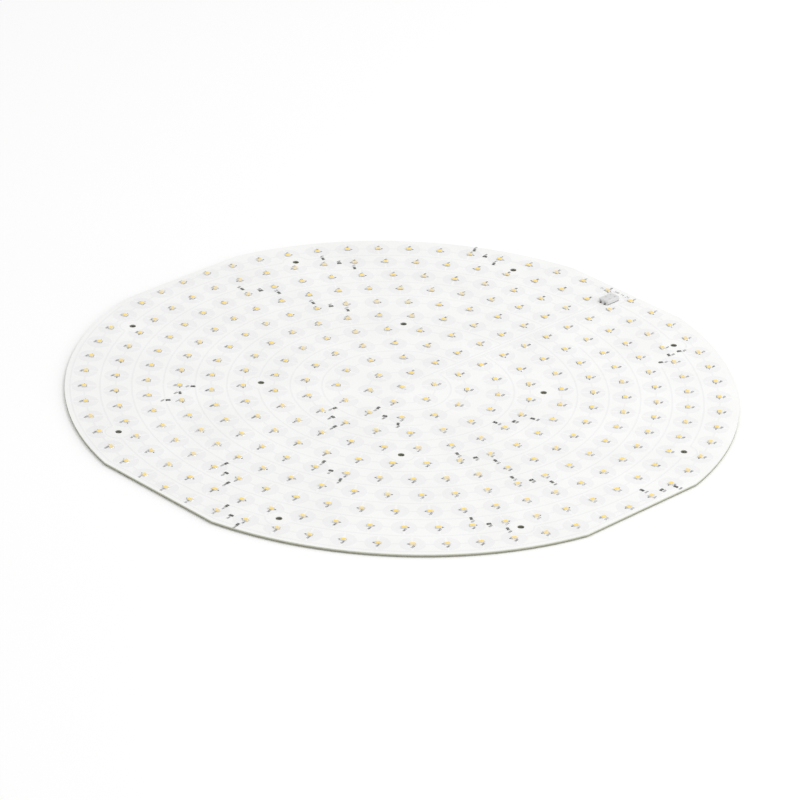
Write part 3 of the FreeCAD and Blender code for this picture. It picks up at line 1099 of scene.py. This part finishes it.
def add_chip_solder(shape, spot, side, along_ring):
    """Solder that climbs from the land round a chip's end."""
    inner = CHIP_LONG / 2 - CHIP_END + CHIP_SOLDER_INSET
    loops = []
    for past_end, past_sides, z in CHIP_SOLDER:
        length = CHIP_LONG / 2 + past_end - inner
        outline = rounded(CHIP_WIDE + past_sides, length, CHIP_SOLDER_CORNER)
        middle = side * (inner + length / 2)
        loops.append(laid_endways(spot, outline, middle, z, along_ring))
    shape.skin(loops, smooth=True)


def make_chips(body, end, solder, figure):
    """Bodies and ends by their place in a group, and the solder and noughts of all."""
    bodies = {name: Shape() for name in ("inner", "middle", "outer")}
    ends = {name: Shape() for name in bodies}
    fillets = Shape()
    figures = Shape()
    for places in chip_places():
        for name, spot, along_ring in places:
            add_chip_body(bodies[name], spot, along_ring)
            for side in (1, -1):
                add_chip_end(ends[name], spot, side, along_ring)
                add_chip_solder(fillets, spot, side, along_ring)
            add_chip_figure(figures, spot, along_ring)
    for name in bodies:
        chips = bodies[name].piece("jumper_bodies_" + name, body, "chip_body")
        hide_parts("chip_bodies_" + name)
        metal = ends[name].piece("jumper_ends_" + name, end, "chip_end")
        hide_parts("chip_ends_" + name)
    fillets.piece("jumper_solder", solder, "chip_end")
    figures.piece("jumper_figures", figure, "led_package")


def add_chip_figure(shape, spot, along_ring):
    """A white nought across the chip's glazed top."""
    loops = []
    for a in range(0, 360, NOUGHT_TURN):
        c, d = math.cos(math.radians(a)), math.sin(math.radians(a))
        loop = []
        for size, z in NOUGHT_STROKE:
            s, t = size * c, (size + NOUGHT_LONGER) * d
            if not along_ring:
                s, t = t, -s
            loop.append(spot.at(s, t, NOUGHT_LEVEL + z))
        loops.append(loop)
    shape.tube(loops)


# Terminal

# Front face, sides, wire axes and roof of the housing, and the slots in its top
TERMINAL_FRONT = 174.8
TERMINAL_SIDES = (-4.7, 2.9)
POLES = (0.85, -2.65)
ENTRY_LEVEL = 1.2
TOP_SLOTS = (179.0, 183.5)
SLOT_SIZE = (1.3, 0.9)
ROOF = 2.7

# A key in a top slot: play, and how much shorter and narrower it is, height and corner
KEY_PLAY = 0.06
KEY_LEVELS = (
    (0.0, 0.0, ROOF - 0.45, 0.2),
    (0.0, 0.0, ROOF - 0.16, 0.2),
    (0.16, 0.16, ROOF - 0.1, 0.15),
    (0.5, 0.4, ROOF - 0.16, 0.08),
)
# Hood in a wire mouth: depth behind the front, radius and lowest height of each arc
HOOD_LEVELS = ((0.50, 0.72, 0.10), (0.12, 0.82, 0.04), (0.06, 0.80, 0.08))
HOOD_STEPS = 12
# Front tab, its metal darkened as painted shade under the wire mouths: place behind the
# front, length, width, height and corner
TAB_LEVELS = (
    (-0.12, 0.5, 1.7, 0.02, 0.08),
    (-0.12, 0.5, 1.7, 0.06, 0.08),
    (-0.02, 0.3, 1.66, 0.12, 0.08),
    (-0.01, 0.14, 1.62, 0.42, 0.05),
    (-0.01, 0.08, 1.54, 0.47, 0.03),
)
# Dark strip in a side recess, painted shade for the shadow gap under the housing: place
# behind the front and in from the side, then its length, width, height and corner
SHADE_STRIP_MIDDLE = 5.8
SHADE_STRIP_INWARD = 0.33
SHADE_STRIP_LEVELS = ((9.6, 0.2, 0.02, 0.08), (9.6, 0.2, 0.42, 0.08), (9.5, 0.12, 0.46, 0.05))


def boxed(x, y, long, wide, z, radius):
    """Rounded outline about a place on the board, at a height above it."""
    return [(x + u, y + v, BOARD_TOP + z) for u, v in rounded(long, wide, radius)]


def make_terminal_parts(plastic, dark):
    """Release keys in the top slots, hoods in the wire mouths, the front solder tabs
    darkened as painted shade, and a dark strip of painted shade for the shadow gap in the
    recess along each side."""
    keys = Shape()
    hoods = Shape()
    tabs = Shape()
    shade_strips = Shape()
    for y in POLES:
        for x in TOP_SLOTS:
            long, wide = SLOT_SIZE[0] - KEY_PLAY, SLOT_SIZE[1] - KEY_PLAY
            keys.skin([
                boxed(x, y, long - shorter, wide - less, z, corner)
                for shorter, less, z, corner in KEY_LEVELS
            ])
        hoods.skin([mouth_segment(y, *level) for level in HOOD_LEVELS])
        tabs.skin([boxed(TERMINAL_FRONT + x, y, *level) for x, *level in TAB_LEVELS])
    # Dark strips of painted shade in the recesses along both sides
    for edge, inward in zip(TERMINAL_SIDES, (1, -1)):
        y = edge + inward * SHADE_STRIP_INWARD
        shade_strips.skin([boxed(TERMINAL_FRONT + SHADE_STRIP_MIDDLE, y, *level) for level in SHADE_STRIP_LEVELS])
    keys.piece("terminal_release_keys", plastic, "terminal_plastic")
    hoods.piece("terminal_entry_hoods", plastic, "terminal_plastic")
    tabs.piece("terminal_front_tabs_painted_shade", dark, "terminal_metal")
    shade_strips.piece("terminal_painted_shade_strips", dark, "terminal_metal")


def mouth_segment(pole, depth, radius, low):
    """Upper part of a circle round a pole's wire axis, at a depth behind the front."""
    start = math.asin(low / radius)
    loop = []
    for i in range(HOOD_STEPS + 1):
        a = start + (math.pi - 2 * start) * i / HOOD_STEPS
        loop.append((
            TERMINAL_FRONT + depth,
            pole - radius * math.cos(a),
            BOARD_TOP + ENTRY_LEVEL + radius * math.sin(a),
        ))
    return loop


# Camera, lamps and floor, in metres, degrees and watts

VIEW_HEADING = 44.44
VIEW_DROP = 27.70
VIEW_ROLL = 2.294
VIEW_DISTANCE = 2.752
VIEW_POINT = (-0.01330, -0.01146, 0.0022)
VIEW_LENS = 207.2
VIEW_SENSOR = 36
VIEW_CLIP = (0.1, 20)


def make_camera():
    """Camera that looks at a point of the board along a heading and a drop."""
    toward, drop, roll = (math.radians(v) for v in (VIEW_HEADING, VIEW_DROP, VIEW_ROLL))
    forward = Vector((
        math.cos(drop) * math.cos(toward),
        math.cos(drop) * math.sin(toward),
        -math.sin(drop),
    ))
    level = Vector((math.sin(toward), -math.cos(toward), 0.0))
    above = level.cross(forward)
    right = level * math.cos(roll) + above * math.sin(roll)
    up = above * math.cos(roll) - level * math.sin(roll)
    data = bpy.data.cameras.new("camera")
    data.lens = VIEW_LENS
    data.sensor_width = VIEW_SENSOR
    data.clip_start, data.clip_end = VIEW_CLIP
    camera = bpy.data.objects.new("camera", data)
    turn = Matrix((right, up, -forward)).transposed()
    place = Matrix.Translation(Vector(VIEW_POINT) - forward * VIEW_DISTANCE)
    camera.matrix_world = place @ turn.to_4x4()
    bpy.context.scene.collection.objects.link(camera)
    bpy.context.scene.camera = camera


# Strength of the white surroundings as light
SKY_LIGHT = 0.75
# Name, place, size and power of each lamp
LAMPS = (
    ("key", (0.8, -1.2, 2.3), 1.6, 20.5),
    ("low_side", (1.65, -1.7, 0.9), 1.2, 9.5),
)
# The floor glows a little towards the camera and lies just under the board
FLOOR_LIFT = 0.07
FLOOR_HALF = 4.0
FLOOR_LEVEL = -0.0006


def make_sky():
    """Even white surroundings, white as well where the camera or a reflection sees them."""
    world = bpy.data.worlds.new("studio")
    world.use_nodes = True
    tree = world.node_tree
    back = tree.nodes["Background"]
    rays = tree.nodes.new("ShaderNodeLightPath")

    def larger(a, b):
        made = tree.nodes.new("ShaderNodeMath")
        made.operation = "MAXIMUM"
        tree.links.new(a, made.inputs[0])
        if isinstance(b, float):
            made.inputs[1].default_value = b
        else:
            tree.links.new(b, made.inputs[1])
        return made.outputs[0]

    seen = larger(rays.outputs["Is Camera Ray"], rays.outputs["Is Glossy Ray"])
    seen = larger(seen, rays.outputs["Is Transmission Ray"])
    tree.links.new(larger(seen, SKY_LIGHT), back.inputs["Strength"])
    back.inputs["Color"].default_value = (1, 1, 1, 1)
    bpy.context.scene.world = world


def make_lamp(name, place, size, power):
    """Round soft lamp that shines at the board."""
    data = bpy.data.lights.new(name, "AREA")
    data.shape = "DISK"
    data.size = size
    data.energy = power
    lamp = bpy.data.objects.new(name, data)
    lamp.location = place
    lamp.rotation_euler = (-Vector(place)).to_track_quat("-Z", "Y").to_euler()
    bpy.context.scene.collection.objects.link(lamp)


def make_floor():
    corners = ((-1, -1), (1, -1), (1, 1), (-1, 1))
    points = [(x * FLOOR_HALF, y * FLOOR_HALF, FLOOR_LEVEL) for x, y in corners]
    mesh = bpy.data.meshes.new("floor")
    mesh.from_pydata(points, [], [(0, 1, 2, 3)])
    mesh.materials.append(floor_finish())
    floor = bpy.data.objects.new("floor", mesh)
    bpy.context.scene.collection.objects.link(floor)


def dress(node, finish):
    """A carried-over node takes a finish in place of its plain one."""
    mesh = NODES[node].data
    if mesh.materials:
        for i in range(len(mesh.materials)):
            mesh.materials[i] = finish
    else:
        mesh.materials.append(finish)


bpy.context.scene.view_settings.view_transform = "Standard"
make_camera()
make_sky()
for lamp in LAMPS:
    make_lamp(*lamp)
make_floor()

dress("board", board_finish())
make_copper(land_finish())
make_legend(ink_finish())
# Tinned sheet, its tone lowered as painted shade for the lights' shaded lead ends; the
# solder keeps a lighter tone
tin_with_painted_shade = metal_finish("tinned_sheet_painted_shade", (166, 165, 162), (188, 187, 184), 0.55, 0.4)
solder = metal_finish("dull_solder", (212, 212, 210), (230, 230, 228), 0.6, 0.3)
make_lights(package_finish(), phosphor_finish(), tin_with_painted_shade, solder)
make_chips(
    chip_finish(),
    metal_finish("tinned_chip_end", (78, 79, 73), (108, 109, 102), 0.42, 0.25),
    metal_finish("dark_solder", (96, 97, 90), (122, 123, 115), 0.42, 0.3),
    figure_finish(),
)
housing = housing_finish("pale_grey_housing", (217, 217, 218), (223, 223, 224))
dress("terminal_housing", housing)
make_terminal_parts(
    housing_finish("grey_key_plastic", (196, 197, 198), (206, 206, 207)),
    # Dark metal of the front tabs and the side strips: painted shade
    metal_finish("dark_metal_painted_shade", (72, 70, 58), (98, 96, 82), 0.5, 0.3),
)
for contact in ("terminal_contact_left", "terminal_contact_right"):
    dress(contact, tin_with_painted_shade)
